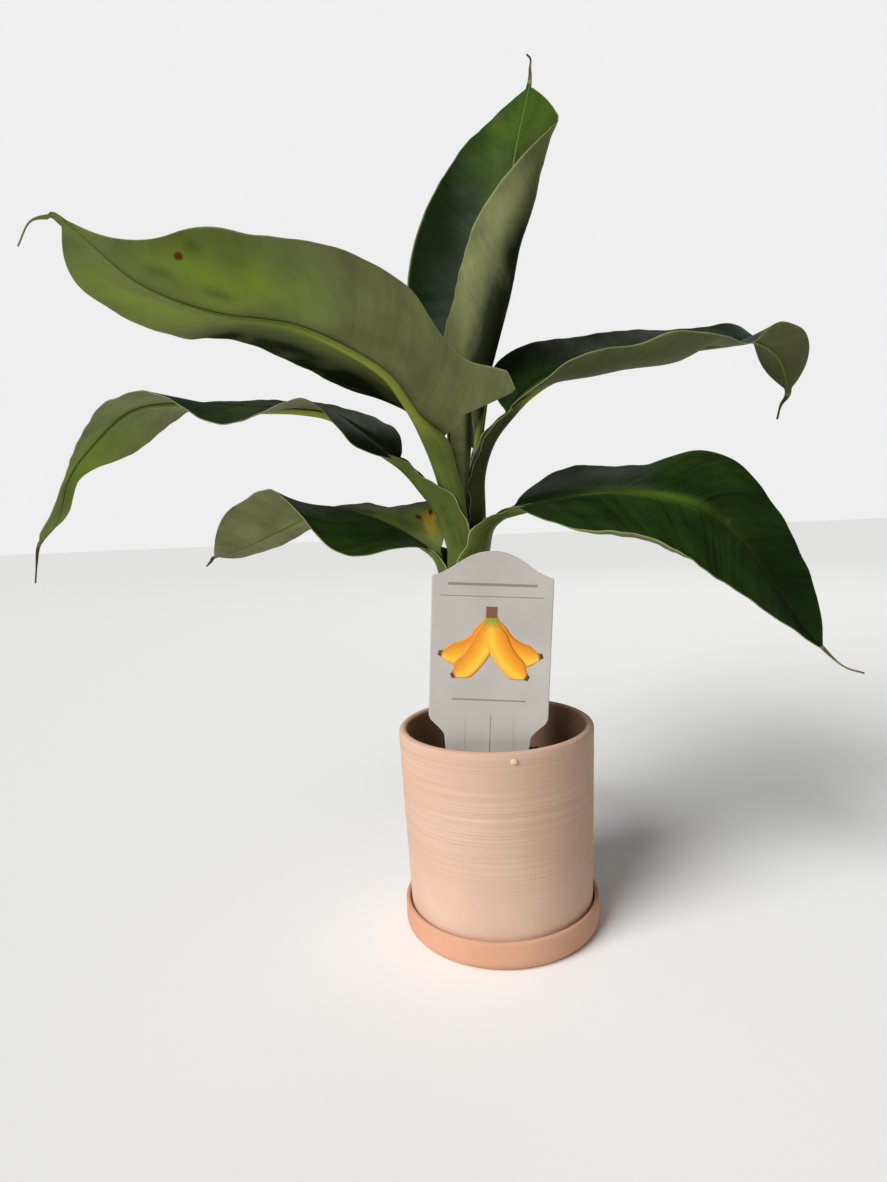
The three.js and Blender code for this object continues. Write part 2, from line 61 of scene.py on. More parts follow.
# The leaves follow the same rule as the solids, with values that are the same or a few
# millimetres finer. A leaf's rib leaves the fork at its foot and points along its heading, in
# degrees. Rib and tail are its points, as (out, up), and the blade starts at the point that
# base counts. Stalk is how wide the stalk is there, and depth how deep. Half is the widest
# half's width, shoulder the share of the length over which the right and the left half widen,
# and belly where they start to narrow. Share, lift and curl have keys in even steps from the
# blade's foot to its tip: how much of the width is there, the angle at the rib and how far the
# half turns on, and bend says between which shares of the half it turns. Late, apron and most
# shape the foot of a left half. Ripple is how far the margin waves, in millimetres, with its
# own wavelength and phase. The sheath nests round the stem at its own radius, and loose says
# where it leaves the stem and over what length. Wrap gives each side's half-width and how far
# round it reaches in degrees, from the foot to the blade, rise how tall its walls stand, and
# wing how far its margins waver. Dry says where the tip withers, as shares of the rib. Shade
# and gloom are painted shade, on the stalk and over the whole blade, midrib says how pale the rib
# is, and a blade in two has two nodes. Marks are (kind, share of length, share of half, reach along,
# reach across, strength), with a share of half below 0 on the right. Most dark marks are painted
# shade, where a half folds or turns away from the light, and pale marks are painted light: a glow
# of light through the blade and painted highlights.
LEAVES = {
    "upright_leaf": dict(
        heading=55, foot=(-12, 4), stalk=7, base=3, half=64, shoulder=(0.32, 0.3), belly=0.45,
        nest=9.6, depth=6.6, shade=0.85, rise=[9, 7, 5, 4, 3.8],
        wrap=dict(right=([9, 6.5, 4.2, 3.6, 3.5], [110, 100, 95, 92, 90]),
                  left=([9, 6.5, 4.2, 3.6, 3.5], [110, 100, 95, 92, 90])),
        rib=[(0, -6), (0, 12), (5, 54), (11, 84), (27, 137), (42, 192), (57, 246), (72, 292), (90, 334)],
        tail=[(92, 347), (93, 353), (88, 354)],
        left=dict(lift=[0, 0, 5, 10, 10, 10, 10], curl=[20, 20, 25, 30, 30, 20, 0],
                  share=[1, 1, 1.03, 1.03, 1.06, 1.15, 1.3], bend=(0.2, 1)),
        right=dict(lift=[30, 20, 15, 10, 0, 0, 0], curl=[170, 175, 180, 175, 125, 30, 0],
                   share=[0.15, 0.36, 0.86, 1.04, 1.15, 1.14, 1.1, 1.03, 0.96, 1, 1.06, 1.08, 1.1],
                   bend=([0, 0, 0.12, 0.2, 0.35, 0.4, 0.4], [0.55, 0.55, 0.55, 0.6, 0.8, 1, 1])),
        ripple=(0.45, 26, 0.4), wing=0.3, dry=(1.0, 1.03),
        marks=[
            ("pale", 0.6, 0.12, 70, 13, 0.7), ("pale", 0.85, 0.4, 40, 22, 0.9),
            ("pale", 0.85, -0.4, 40, 30, 0.9), ("dark", 0.35, 0.75, 80, 26, 0.9),
            ("dark", 0.3, -0.28, 95, 20, 1.5), ("dark", 0.03, -0.5, 30, 60, 1.2),
        ],
        midrib=1.0,
    ),
    "high_right_leaf": dict(
        heading=20, foot=(-8, 4), stalk=12, base=5, half=46, shoulder=(0.25, 0.12), belly=0.45,
        in_two=True, nest=11.2, depth=12, shade=0.8, rise=[11, 11, 10.5, 8.5, 6.5],
        wrap=dict(right=([11, 8, 6, 5.5, 5], [108, 106, 102, 98, 92]),
                  left=([11, 8, 6, 5.5, 5], [100, 100, 98, 95, 92])),
        rib=[(0, -6), (0, 12), (1, 42), (2, 68), (10, 90), (24, 107), (40, 122), (62, 133), (105, 142),
             (150, 148), (190, 152), (215, 154), (235, 142), (242, 120)],
        tail=[(236, 110), (233, 100)],
        left=dict(lift=[34, 36, 37, 33, 30, 30, 30, 29, 28, 31, 33, -8, -32], curl=0,
                  share=[0.8, 0.9, 1, 1, 1, 1.2, 1.2], bend=(0, 1)),
        right=dict(lift=[10, -25, -50, -58, -60, -58, -52, -14, -14, 0, 2, 28, 25],
                   curl=[0, 55, 110, 126, 125, 130, 112, 20, 10, 12, 20, 10, 0],
                   share=[1, 1, 1, 1, 1, 1.18, 1.1, 1, 1, 1.1, 1.3, 1.45, 1.6], bend=(0, 1)),
        ripple=(0.3, 37, 1.3), wing=0.5, dry=(1.0, 1.02), painted_blade_shade=0.5, marks=[],
    ),
    "front_left_leaf": dict(
        heading=228, foot=(-20, -3), stalk=11, base=3, half=50, shoulder=(0.22, 0.022), belly=0.45,
        nest=12.4, depth=10.5, rise=[13, 9, 7, 6.5, 5.5], late=0.028, apron=16, most=61, shade=0.05,
        wrap=dict(right=([12, 8, 6.5, 6, 5.5], [110, 105, 100, 95, 90]),
                  left=([12, 10.5, 10.8, 11, 15], [110, 100, 95, 92, 88])),
        rib=[(0, -6), (0, 12), (6, 57), (20, 90), (36, 112), (58, 130), (109, 145), (157, 145), (192, 152),
             (221, 172)],
        tail=[(227, 172), (234, 168), (239, 158)],
        left=dict(lift=[25, 15, 20, 20, 25, 35, 40], curl=[0, 20, 20, 20, 20, 20, 0],
                  share=[1.62, 0.83, 0.97, 1, 1.05, 1.1, 0.3], bend=(0, 1)),
        right=dict(lift=[45, 15, 10, 10, 5, 0, -20], curl=[-10, -30, -35, -30, -30, -30, -30],
                   share=[1, 1, 1, 1, 1, 1.2, 2], bend=(0.3, 1)),
        ripple=(0.5, 43, 2.1), wing=0.3, dry=(1.03, 1.1), midrib=0.25,
        marks=[
            ("rust", 0.76, 0.6, 2.6, 2.2, 0.9), ("dark", 0.72, 0.78, 9, 6, 0.6),
            ("dark", 0.63, 0.7, 12, 5, 0.4), ("dark", 0.68, 0.25, 9, 3, 0.5),
            ("dark", 0.8, 0.3, 9, 3, 0.4), ("pale", 0.66, 0.5, 52, 24, 0.8),
            ("pale", 0.97, 0.2, 10, 14, 0.4), ("pale", 0.6, -0.15, 60, 12, 0.7),
            ("dark", 0.4, -1.0, 26, 12, 1.2), ("dark", 0.25, -0.92, 45, 17, 1.3),
            ("dark", 0.06, -0.8, 40, 22, 1.3), ("pale", 0.75, -0.5, 45, 20, 0.7),
            ("pale", 0.4, -0.3, 45, 9, 0.8), ("dark", 0.68, 0.92, 45, 9, 0.45),
        ],
    ),
    "low_left_leaf": dict(
        heading=150, foot=(-28, 2), stalk=10, base=2, half=44, shoulder=(0.2, 0.3), belly=0.45,
        in_two=True, nest=13.6, loose=(-12, 22), depth=9.5, shade=0.3, rise=[12, 11, 10, 9, 8],
        wrap=dict(right=([11, 12, 14, 15, 15], [105, 100, 95, 92, 90]),
                  left=([11, 10, 8, 7, 6], [105, 100, 95, 92, 90])),
        rib=[(0, -6), (0, 4), (6, 18), (24, 30), (52, 43), (83, 51), (108, 50), (130, 42), (160, 32),
             (200, 20), (224, 16)],
        tail=[(230, 12), (236, 8)],
        left=dict(lift=[5, -36, -14, 25, 50, 48, 20], curl=0, share=[1, 1, 1, 0.95, 0.93, 1.25, 1.3],
                  bend=(0, 1)),
        right=dict(lift=[70, 24, 0, 5, 0, -10, -30], curl=0, share=1, bend=(0, 1)),
        ripple=(0.4, 35, 0.2), wing=0.4, dry=(0.995, 1.01),
        marks=[
            ("burn", 0.06, -0.5, 7, 6, 1.0), ("rust", 0.105, -0.4, 3.2, 1.6, 1.1),
            ("rust", 0.065, -0.62, 2, 2.2, 1.1), ("olive", 0.2, -0.6, 60, 30, 1.0),
            ("olive", 0.05, -0.6, 30, 30, 1.0),
        ],
    ),
    "arching_left_leaf": dict(
        heading=172, foot=(-22, -8), stalk=12, base=4, half=42, shoulder=(0.14, 0.14), belly=0.45,
        in_two=True, nest=11.5, depth=10.4, shade=0.2, rise=[15, 14.5, 13, 9, 6.5],
        wrap=dict(right=([12, 9, 7, 6.5, 6], [90, 90, 90, 90, 90]),
                  left=([11, 9, 8.5, 7.5, 6], [92, 102, 116, 104, 92])),
        rib=[(-4, -6), (-4, 7), (5, 43), (15, 59), (32, 79), (69, 108), (96, 116), (131, 119), (178, 125),
             (218, 122), (253, 98), (271, 78), (282, 51), (298, 35)],
        tail=[(303, 21), (306, 7)],
        left=dict(lift=[-30, 3, -22, 2, -12, -18, 15], curl=0,
                  share=[0.7, 0.84, 0.95, 0.985, 1, 1, 1, 1, 1, 0.9, 0.4, 0.85, 1.6], bend=(0, 1)),
        right=dict(lift=[25, 8, 12, 5, -12, -10, 30], curl=0,
                   share=[1, 1, 1, 1, 1, 1, 1, 1.08, 1.15, 1, 0.4, 0.8, 1.1], bend=(0, 1)),
        ripple=(0.45, 33, 0.9), wing=0.7, dry=(0.995, 1.015),
        marks=[
            ("pale", 0.8, 0.3, 60, 26, 0.7), ("pale", 0.8, -0.3, 60, 26, 0.7),
        ],
    ),
    "low_right_leaf": dict(
        heading=352, foot=(-8, -6), stalk=12, base=4, half=46, shoulder=(0.25, 0.14), belly=0.5,
        in_two=True, nest=15.3, depth=15, shade=0.25, rise=[14, 13.5, 12.5, 8, 6],
        wrap=dict(right=([15, 15, 13.5, 9, 6], [124, 112, 92, 80, 88]),
                  left=([14, 11, 8, 7, 6], [100, 95, 92, 90, 90])),
        rib=[(0, -6), (0, 7), (4, 33), (13, 44), (25, 48), (53, 52), (77, 54), (100, 52), (134, 42),
             (158, 22), (174, -1), (192, -29), (203, -44)],
        tail=[(215, -55), (226, -59)],
        left=dict(lift=[20, 23, 22, 50, 47, 55, 80], curl=0, share=[0.9, 1, 1, 1, 1, 1, 1], bend=(0, 1)),
        right=dict(lift=[-30, -33, -38, -42, -40, -32, -22], curl=[0, 60, 95, 70, 0, 0, 0],
                   share=[1, 1.1, 1.1, 1.1, 1, 1, 1], bend=(0.8, 1)),
        ripple=(0.45, 37, 1.7), wing=1.3, dry=(0.99, 1.005),
        marks=[
            ("rust", 0.58, 0.06, 3.4, 2.6, 0.34), ("dark", 0.1, 0.5, 40, 34, 1.0),
            ("dark", 0.8, 0.5, 45, 30, 0.7), ("pale", 0.36, 0.04, 38, 3.5, 1.1),
            ("pale", 0.36, -0.04, 38, 2.5, 0.9),
        ],
        midrib=0.4,
    ),
}
YOUNG_LINE = [(-15, -2, 226), (-15, -3, 258), (-15, -6, 292), (-15, -9, 322), (-11, -6, 356)]
YOUNG_RADII = [2.2, 2.4, 4.2, 8.0, 0.9]

# Side veins slant from the rib towards the tip and sweep on outwards
VEIN_SLANT, VEIN_SWEEP = 0.42, 0.006
VEIN_STEP, VEIN_HEIGHT, PUCKER_HEIGHT = 5.9, 0.055, 0.55
LEAF_THICKNESS = 0.5


# Curves


def smooth(keys, t):
    """A smooth value through evenly spaced keys, or the one value where there is one."""
    if isinstance(keys, (int, float)):
        return float(keys)
    x = min(max(t, 0.0), 1.0) * (len(keys) - 1)
    i = min(int(x), len(keys) - 2)
    f = x - i
    a, b, c, d = keys[max(i - 1, 0)], keys[i], keys[i + 1], keys[min(i + 2, len(keys) - 1)]
    return b + 0.5 * f * (c - a + f * (2 * a - 5 * b + 4 * c - d + f * (3 * (b - c) + d - a)))


class Curve:
    """A smooth curve through points, read by the length along it."""

    def __init__(self, points, per=24):
        p = np.array(points, float)
        p = np.vstack([2 * p[0] - p[1], p, 2 * p[-1] - p[-2]])
        f = np.linspace(0, 1, per, endpoint=False)[:, None]
        spans = []
        for i in range(1, len(p) - 2):
            a, b, c, d = p[i - 1], p[i], p[i + 1], p[i + 2]
            spans.append(b + 0.5 * f * (c - a + f * (2 * a - 5 * b + 4 * c - d + f * (3 * (b - c) + d - a))))
        self.points = np.vstack([*spans, p[-2:-1]])
        steps = np.linalg.norm(np.diff(self.points, axis=0), axis=1)
        self.lengths = np.concatenate([[0], np.cumsum(steps)])
        self.end = self.lengths[-1]
        self.per = per

    def knot(self, k):
        return self.lengths[self.per * k]

    def at(self, length):
        return np.array([np.interp(length, self.lengths, self.points[:, k]) for k in range(3)])


class Rib:
    """A leaf's rib in its upright plane, with the frame at a length along it."""

    def __init__(self, leaf):
        heading = math.radians(leaf["heading"])
        self.out = np.array([math.cos(heading), math.sin(heading), 0])
        self.left = np.array([-math.sin(heading), math.cos(heading), 0])
        foot = np.array([*leaf["foot"], STEM_TOP_Z])
        up = np.array([0, 0, 1])
        self.curve = Curve([foot + self.out * a + up * z for a, z in leaf["rib"] + leaf["tail"]])
        self.start = self.curve.knot(leaf["base"])
        self.tip = self.curve.knot(len(leaf["rib"]) - 1)
        self.end = self.curve.end

    def frame(self, length):
        ahead = self.curve.at(length + 6) - self.curve.at(length - 6)
        upper = np.cross(ahead, self.left)
        return self.curve.at(length), self.left, upper / np.linalg.norm(upper)


def reach(leaf, side, u):
    """How far one half reaches from the rib, in millimetres."""
    shoulder = leaf["shoulder"][0 if side == "right" else 1]
    late = leaf.get("late", 0) if side == "left" else 0
    rise = math.sin(math.pi / 2 * min(max(u - late, 0) / shoulder, 1)) ** 0.8
    fall = math.cos(math.pi / 2 * min(max((u - leaf["belly"]) / (1 - leaf["belly"]), 0), 1)) ** 0.85
    beside = leaf["stalk"] * 0.34 * (1 - 4 * u)
    if side == "left" and u < 0.06:
        beside = max(beside, leaf.get("apron", 0) * (0.88 + 0.12 * ease(u / 0.03)))
    tip = 1.7 if u < 1 else max(1.7 - 1.0 * (u - 1) / 0.05, 0.5)
    wide = max(leaf["half"] * rise * fall, beside, tip) * smooth(leaf[side]["share"], u)
    return min(wide, leaf.get("most", 1000))


def ease(x):
    x = min(max(x, 0.0), 1.0)
    return x * x * (3 - 2 * x)


# Meshes


def surface(name, rows, columns, place, wrap=False, ends=False):
    """A sheet of rows x columns cells whose vertices are moved to place(row, column),
    which gives the point in millimetres and a dictionary of named values kept on it."""
    bm = bmesh.new()
    uv = bm.loops.layers.uv.new("UVMap")
    bmesh.ops.create_grid(bm, x_segments=rows, y_segments=columns, size=0.5, calc_uvs=True)
    layers = {key: bm.verts.layers.float.new(key) for key in place(0, 0)[1]}
    for vert in bm.verts:
        row = round((vert.co.x + 0.5) * rows)
        column = round((vert.co.y + 0.5) * columns)
        point, facts = place(row, column)
        vert.co = Vector(point) * MM
        for key, value in facts.items():
            vert[layers[key]] = float(value)
    if "along" in layers:
        for face in bm.faces:
            for loop in face.loops:
                loop[uv].uv = (loop.vert[layers["along"]], loop.vert[layers["across"]])
    if wrap:
        bmesh.ops.remove_doubles(bm, verts=bm.verts, dist=1e-6)
    if ends:
        edges = [e for e in bm.edges if len(e.link_faces) == 1]
        bmesh.ops.holes_fill(bm, edges=edges, sides=0)
        bmesh.ops.recalc_face_normals(bm, faces=bm.faces)
    return finish_mesh(name, bm)


def finish_mesh(name, bm):
    for face in bm.faces:
        face.smooth = True
    mesh = bpy.data.meshes.new(name)
    bm.to_mesh(mesh)
    bm.free()
    obj = bpy.data.objects.new(name, mesh)
    bpy.context.scene.collection.objects.link(obj)
    return obj


def thicken(obj, thickness, offset=0.0, under=0, rim=0):
    modifier = obj.modifiers.new("thickness", "SOLIDIFY")
    modifier.thickness = thickness * MM
    modifier.offset = offset
    modifier.use_even_offset = False
    modifier.material_offset = under
    modifier.material_offset_rim = rim
    return obj


def placed(obj, slot, *nodes, materials=()):
    """Ties a piece to the part's body, hides the nodes it stands for, and gives it its materials. The slot is
    not used.
    """
    for material in materials:
        obj.data.materials.append(material)
    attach(obj, "root")
    if nodes:
        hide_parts(*nodes)
    return obj


# Materials


def srgb(code):
    """A hex colour as linear values."""
    parts = [int(code[i : i + 2], 16) / 255 for i in (1, 3, 5)]
    return tuple(c / 12.92 if c <= 0.04045 else ((c + 0.055) / 1.055) ** 2.4 for c in parts) + (1.0,)


def node(tree, kind, inputs=(), out=0, **settings):
    """Adds a node with its settings, links or sets its inputs, and gives one of its outputs.
    A name of a node that the tree already has takes that node."""
    made = tree.nodes[kind] if kind in tree.nodes else tree.nodes.new(kind)
    for key, value in settings.items():
        setattr(made, key, value)
    for key, value in inputs.items() if isinstance(inputs, dict) else enumerate(inputs):
        if isinstance(value, bpy.types.NodeSocket):
            tree.links.new(value, made.inputs[key])
        else:
            made.inputs[key].default_value = value
    return made.outputs[out]


def new_material(name):
    material = bpy.data.materials.new(name)
    material.use_nodes = True
    return material, material.node_tree


def clay(name, base, pale, dark, combing, damp=None):
    """Unglazed fired terracotta, thrown on a wheel: level combing marks about a millimetre apart, with
    painted shade in their hollows, a mottled and slightly gritty matt face, and the inside wall darker
    above the potting mix: painted shade, with some damp staining."""
    material, tree = new_material(name)
    place = node(tree, "ShaderNodeTexCoord", out="Object")
    level = node(tree, "ShaderNodeVectorMath", (place, (6, 6, 880)), operation="MULTIPLY")
    lines = node(tree, "ShaderNodeTexNoise", {"Vector": level, "Scale": 1.0, "Detail": 3.0, "Roughness": 0.6})
    level = node(tree, "ShaderNodeVectorMath", (place, (14, 14, 1500)), operation="MULTIPLY")
    fine = node(tree, "ShaderNodeTexNoise", {"Vector": level, "Scale": 1.0, "Detail": 2.0})
    patch = node(tree, "ShaderNodeTexNoise", {"Vector": place, "Scale": 22.0, "Detail": 3.0})
    grit = node(tree, "ShaderNodeTexNoise", {"Vector": place, "Scale": 1600.0, "Detail": 2.0})
    # the combing fades out towards the foot and comes and goes in patches
    height = node(tree, "ShaderNodeSeparateXYZ", (place,), out="Z")
    upper = node(tree, "ShaderNodeMapRange", (height, 0.03, 0.075))
    uneven = node(tree, "ShaderNodeMapRange", (patch, 0.35, 0.6, 0.45, 1.0))
    strength = node(tree, "ShaderNodeMath", (upper, uneven), operation="MULTIPLY")
    strength = node(tree, "ShaderNodeMath", (strength, combing), operation="MULTIPLY")
    mottle = node(tree, "ShaderNodeMapRange", (patch, 0.3, 0.7))
    tint = node(tree, "ShaderNodeMix", {0: mottle, 6: srgb(base), 7: srgb(pale)}, out=2, data_type="RGBA")
    # painted shade in the hollows of the combing
    hollows = node(tree, "ShaderNodeMapRange", (lines, 0.35, 0.65, 0.34, 0.0))
    hollows = node(tree, "ShaderNodeMath", (hollows, strength), operation="MULTIPLY")
    specks = node(tree, "ShaderNodeMapRange", (grit, 0.66, 0.74, 0.0, 0.25))
    for share in (hollows, specks):
        tint = node(tree, "ShaderNodeMix", {0: share, 6: tint, 7: srgb(dark)}, out=2, data_type="RGBA")
    # the whole inside wall is darker: painted shade, with some damp staining
    if damp:
        flat = node(tree, "ShaderNodeVectorMath", (place, (1, 1, 0)), operation="MULTIPLY")
        radius = node(tree, "ShaderNodeVectorMath", (flat,), out="Value", operation="LENGTH")
        face, within = 0.0592, 0.0584
        inside = node(tree, "ShaderNodeMapRange", (radius, face, within))
        tint = node(tree, "ShaderNodeMix", {0: inside, 6: tint, 7: srgb(damp)}, out=2, data_type="RGBA")
    ridges = node(tree, "ShaderNodeMath", (lines, strength), operation="MULTIPLY")
    ridges = node(tree, "ShaderNodeMath", (fine, 0.25, ridges), operation="MULTIPLY_ADD")
    ridges = node(tree, "ShaderNodeMath", (grit, 0.12, ridges), operation="MULTIPLY_ADD")
    bump = node(tree, "ShaderNodeBump", {"Height": ridges, "Distance": 0.0005, "Strength": 0.8})
    node(tree, "Principled BSDF", {
        "Base Color": tint, "Roughness": 0.88, "Specular IOR Level": 0.25, "Normal": bump,
    })
    return material


def potting_mix():
    """Damp peat with fine bark: nearly black, crumbly and without shine."""
    material, tree = new_material("damp potting mix")
    place = node(tree, "ShaderNodeTexCoord", out="Object")
    grains = node(tree, "ShaderNodeTexNoise", {
        "Vector": place, "Scale": 260.0, "Detail": 4.0, "Roughness": 0.6,
    })
    lumps = node(tree, "ShaderNodeTexNoise", {"Vector": place, "Scale": 900.0, "Detail": 3.0})
    share = node(tree, "ShaderNodeMapRange", (grains, 0.35, 0.7))
    colours = {0: share, 6: srgb("#150b08"), 7: srgb("#33211a")}
    tint = node(tree, "ShaderNodeMix", colours, out=2, data_type="RGBA")
    bump = node(tree, "ShaderNodeBump", {"Height": lumps, "Distance": 0.0006})
    node(tree, "Principled BSDF", {
        "Base Color": tint, "Roughness": 0.95, "Specular IOR Level": 0.2, "Normal": bump,
    })
    return material


def leaf(name, dark, light, deep, painted_glow_and_veins, rib, gloss, veins_show, bands_show, shine):
    """Living banana leaf, waxy above and matt below: close side veins run out from the rib, which
    is paler, and tips and blemishes are dry and brown. Pale marks are painted light, a yellow glow of
    light through the blade and painted highlights, and dark marks are painted shade. Along is the
    length at which a vein leaves the rib and across the distance from the rib, in steps of 100 mm."""
    material, tree = new_material(name)
    uv = node(tree, "ShaderNodeTexCoord", out="UV")
    noises = {}
    for key, size, detail, rough in (
        ("broad", (4.2, 5.4, 1), 3.0, 0.5),
        ("bands", (15, 0.9, 1), 2.0, 0.5),
        ("veins", (48, 1.6, 1), 2.0, 0.55),
        ("fine", (150, 3.0, 1), 2.0, 0.6),
        ("ragged", (40, 40, 1), 3.0, 0.5),
    ):
        place = node(tree, "ShaderNodeVectorMath", (uv, size), operation="MULTIPLY")
        noises[key] = node(tree, "ShaderNodeTexNoise", {
            "Vector": place, "Scale": 1.0, "Detail": detail, "Roughness": rough,
        })
    facts = {}
    for key in ("pale", "dark", "olive", "rib", "edge", "burn", "rust", "dry"):
        facts[key] = node(tree, "ShaderNodeAttribute", out="Fac", attribute_name=key)
    relief = node(tree, "ShaderNodeMath", (noises["veins"], 0.6), operation="MULTIPLY")
    relief = node(tree, "ShaderNodeMath", (noises["fine"], 0.4, relief), operation="MULTIPLY_ADD")
    uneven = node(tree, "ShaderNodeMapRange", (noises["broad"], 0.3, 0.6, 0.5, 1.0))
    layers = [
        (node(tree, "ShaderNodeMapRange", (noises["broad"], 0.35, 0.65)), light),
        (node(tree, "ShaderNodeMapRange", (noises["bands"], 0.45, 0.7, 0.0, bands_show)), deep),
        # pale marks: painted light, a yellow glow of light through the blade and painted highlights
        (node(tree, "ShaderNodeMath", (facts["pale"], uneven), operation="MULTIPLY"), painted_glow_and_veins),
        (node(tree, "ShaderNodeMapRange", (relief, 0.45, 0.62, 0.0, veins_show)), painted_glow_and_veins),
        # dark marks and gloom: painted shade
        (node(tree, "ShaderNodeMath", (facts["dark"], uneven), operation="MULTIPLY", use_clamp=True), deep),
        (node(tree, "ShaderNodeMath", (facts["olive"], uneven), operation="MULTIPLY"), "#717b3a"),
        (node(tree, "ShaderNodeMapRange", (facts["rib"], 0.3, 0.95)), rib),
        (node(tree, "ShaderNodeMapRange", (facts["edge"], 0.5, 0.9, 0.0, 0.6)), "#9a9c6a"),
    ]
    # blemishes and dead tips have ragged borders and a darker middle
    for key, first, second in (
        ("burn", "#8f8030", "#99801f"), ("rust", "#6a3f16", "#351a0d"), ("dry", "#7d775a", "#584a3a"),
    ):
        torn = node(tree, "ShaderNodeMapRange", (noises["ragged"], 0.0, 1.0, -0.45, 0.45))
        near = node(tree, "ShaderNodeMapRange", (facts[key], 0.02, 0.3))
        share = node(tree, "ShaderNodeMath", (torn, near, facts[key]), operation="MULTIPLY_ADD")
        layers.append((node(tree, "ShaderNodeMapRange", (share, 0.22, 0.5)), first))
        layers.append((node(tree, "ShaderNodeMapRange", (share, 0.6, 0.95)), second))
    tint = srgb(dark)
    for share, colour in layers:
        tint = node(tree, "ShaderNodeMix", {0: share, 6: tint, 7: srgb(colour)}, out=2, data_type="RGBA")
    spoilt = node(tree, "ShaderNodeMath", (facts["dry"], facts["rust"]), operation="ADD", use_clamp=True)
    rough = node(tree, "ShaderNodeMath", (noises["bands"], 0.3, spoilt), operation="MULTIPLY_ADD")
    rough = node(tree, "ShaderNodeMapRange", (rough, 0.0, 1.0, gloss, min(gloss + 0.45, 0.95)))
    bump = node(tree, "ShaderNodeBump", {"Height": relief, "Distance": 0.00014, "Strength": 0.5})
    node(tree, "Principled BSDF", {
        "Base Color": tint, "Roughness": rough, "Specular IOR Level": shine, "Normal": bump,
    })
    return material


def leaf_stalk():
    """Leaf stalk and sheath: fine lengthwise fibres under a waxy skin, painted shade in the channel
    and on stalks that stand in shade, thin dry margins, and a bright rib under the blade."""
    material, tree = new_material("leaf stalk and sheath")
    uv = node(tree, "ShaderNodeTexCoord", out="UV")
    place = node(tree, "ShaderNodeVectorMath", (uv, (3, 55, 1)), operation="MULTIPLY")
    fibres = node(tree, "ShaderNodeTexNoise", {
        "Vector": place, "Scale": 1.0, "Detail": 3.0, "Roughness": 0.6,
    })
    place = node(tree, "ShaderNodeVectorMath", (uv, (4.4, 8.0, 1)), operation="MULTIPLY")
    patch = node(tree, "ShaderNodeTexNoise", {"Vector": place, "Scale": 1.0, "Detail": 3.0})
    facts = {}
    for key in ("pale", "rib", "shade", "inner", "edge", "dry"):
        facts[key] = node(tree, "ShaderNodeAttribute", out="Fac", attribute_name=key)
    tint = srgb("#414f1b")
    for share, colour in (
        (node(tree, "ShaderNodeMapRange", (patch, 0.35, 0.65)), "#5f6d28"),
        (node(tree, "ShaderNodeMath", (facts["pale"], 0.3), operation="MULTIPLY"), "#7f8c34"),
        (node(tree, "ShaderNodeMapRange", (fibres, 0.45, 0.75, 0.0, 0.35)), "#7f8b42"),
        (facts["rib"], "#95a03c"),
        # painted shade: on stalks that stand in shade, and in the channel below
        (facts["shade"], "#28330f"),
        (node(tree, "ShaderNodeMapRange", (facts["inner"], 0.2, 0.9)), "#232f0f"),
        (node(tree, "ShaderNodeMapRange", (facts["edge"], 0.4, 0.8)), "#aaa982"),
        (node(tree, "ShaderNodeMapRange", (facts["dry"], 0.2, 0.9)), "#5f4c34"),
    ):
        tint = node(tree, "ShaderNodeMix", {0: share, 6: tint, 7: srgb(colour)}, out=2, data_type="RGBA")
    bump = node(tree, "ShaderNodeBump", {"Height": fibres, "Distance": 0.0002, "Strength": 0.5})
    node(tree, "Principled BSDF", {
        "Base Color": tint, "Roughness": 0.45, "Specular IOR Level": 0.15, "Normal": bump,
    })
    return material


def plain(name, code, roughness=0.5, specular=0.4):
    """One even colour, for printed ink, a cut edge or the floor."""
    material, tree = new_material(name)
    node(tree, "Principled BSDF", {
        "Base Color": srgb(code), "Roughness": roughness, "Specular IOR Level": specular,
    })
    return material


def sheet_plastic():
    """White polystyrene sheet, die cut: off-white with a faint haze and a fine satin grain."""
    material, tree = new_material("white polystyrene sheet")
    place = node(tree, "ShaderNodeTexCoord", out="Object")
    grain = node(tree, "ShaderNodeTexNoise", {"Vector": place, "Scale": 900.0})
    haze = node(tree, "ShaderNodeTexNoise", {"Vector": place, "Scale": 30.0})
    share = node(tree, "ShaderNodeMapRange", (haze, 0.3, 0.7))
    colours = {0: share, 6: srgb("#b1aca4"), 7: srgb("#bcb7b0")}
    tint = node(tree, "ShaderNodeMix", colours, out=2, data_type="RGBA")
    bump = node(tree, "ShaderNodeBump", {"Height": grain, "Distance": 0.0001, "Strength": 0.3})
    node(tree, "Principled BSDF", {
        "Base Color": tint, "Roughness": 0.42, "Specular IOR Level": 0.4, "Normal": bump,
    })
    return material


def printed_fruit():
    """Printed yellow fruit: an orange shade, a lit ridge, a green neck and a brown tip."""
    material, tree = new_material("printed yellow fruit")
    uv = node(tree, "ShaderNodeTexCoord", out="UV")
    along = node(tree, "ShaderNodeSeparateXYZ", (uv,), out="X")
    across = node(tree, "ShaderNodeSeparateXYZ", (uv,), out="Y")
    tint = srgb("#d97f12")
    for share, colour in (
        (node(tree, "ShaderNodeMapRange", (across, 0.0, 0.45)), "#f4a51f"),
        (node(tree, "ShaderNodeMapRange", (across, 0.45, 0.72)), "#fcc53e"),
        (node(tree, "ShaderNodeMapRange", (across, 0.78, 1.0, 0.0, 0.75)), "#e9961c"),
        (node(tree, "ShaderNodeMapRange", (along, 0.16, 0.05)), "#9c9a2c"),
        (node(tree, "ShaderNodeMapRange", (along, 0.93, 0.965)), "#5d3a2a"),
    ):
        tint = node(tree, "ShaderNodeMix", {0: share, 6: tint, 7: srgb(colour)}, out=2, data_type="RGBA")
    node(tree, "Principled BSDF", {"Base Color": tint, "Roughness": 0.4, "Specular IOR Level": 0.4})
    return material


# Pot, saucer and potting mix


